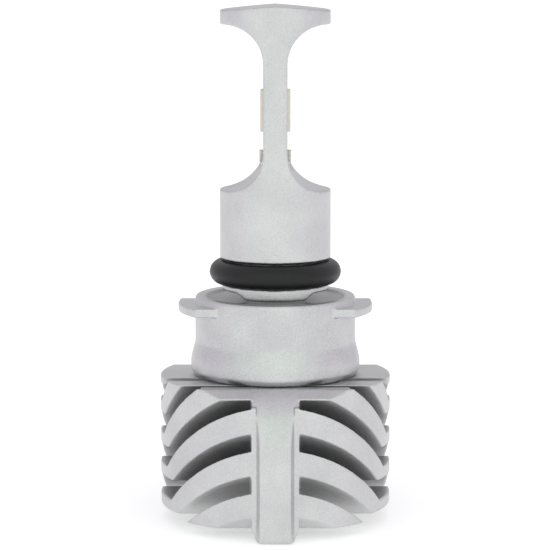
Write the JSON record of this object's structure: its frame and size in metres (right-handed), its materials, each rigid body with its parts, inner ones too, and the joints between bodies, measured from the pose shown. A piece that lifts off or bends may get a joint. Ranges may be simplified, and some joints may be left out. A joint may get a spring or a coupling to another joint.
{
  "type": "led headlight bulb",
  "caption": "LED headlight bulb: thin lamp blade lit on both sides, O-ring seal, turning locking collar with tabs, louvred heat sink and rear connector inlet.",
  "frame": {"origin": "on the lamp axis, at the seating plane of the collar's tabs", "axes": "+Z along the lamp axis to the tip; the lights face -X and +X; -Y is the heat sink's rib and +Y the connector"},
  "size_m": [0.038, 0.0512, 0.0848],
  "materials": {
    "stem_casting": "die-cast and shot-blasted, fine even grain",
    "collar_casting": "die-cast and shot-blasted, fine even grain",
    "sink_casting": "die-cast and shot-blasted, fine even grain",
    "cover_casting": "die-cast and shot-blasted",
    "board_mask": "white solder mask, satin",
    "package_ceramic": "fired ceramic, matt cream",
    "phosphor": "silicone filled with yellow phosphor",
    "chip_parts": "fired ceramic chip body with tinned ends",
    "wire_red": "extruded insulation",
    "wire_black": "extruded insulation",
    "seal_rubber": "moulded, soft sheen",
    "gasket_rubber": "cut from sheet, matt",
    "spring_steel": "rolled strip",
    "screw_steel": "zinc plated",
    "driver_laminate": "green solder mask on glass laminate",
    "ferrite": "sintered, matt",
    "capacitor_sleeve": "shrunk sleeve",
    "chip_epoxy": "moulded epoxy, fine texture",
    "gap_pad": "soft silicone sheet",
    "connector_nylon": "moulded glass-filled nylon",
    "terminal_brass": "tin-plated"
  },
  "bodies": {
    "lamp": {"lamp_stem": "stem_casting", "led_board_left": "board_mask", "led_board_right": "board_mask", "led_package_left": "package_ceramic", "led_package_right": "package_ceramic", "led_phosphor_left": "phosphor", "led_phosphor_right": "phosphor", "board_parts_left": "chip_parts", "board_parts_right": "chip_parts", "feed_wires_left": "wire_red", "feed_wires_right": "wire_red", "o_ring": "seal_rubber", "wave_washer": "spring_steel", "heat_sink": "sink_casting", "stem_screw": "screw_steel", "driver_board": "driver_laminate", "driver_choke": "ferrite", "driver_capacitors": "capacitor_sleeve", "driver_chip": "chip_epoxy", "thermal_pad": "gap_pad", "supply_wires": "wire_black", "cover_gasket": "gasket_rubber", "rear_cover": "cover_casting", "cover_screws": "screw_steel", "connector_gasket": "gasket_rubber", "connector_shell": "connector_nylon", "connector_screws": "screw_steel", "terminal_pins": "terminal_brass"},
    "collar": {"locking_collar": "collar_casting"}
  },
  "joints": [
    {"name": "collar_turn", "type": "hinge", "parent": "lamp", "child": "collar", "pos_m": [0, 0, -0.0053], "axis": [0, 0, 1], "continuous": true}
  ]
}
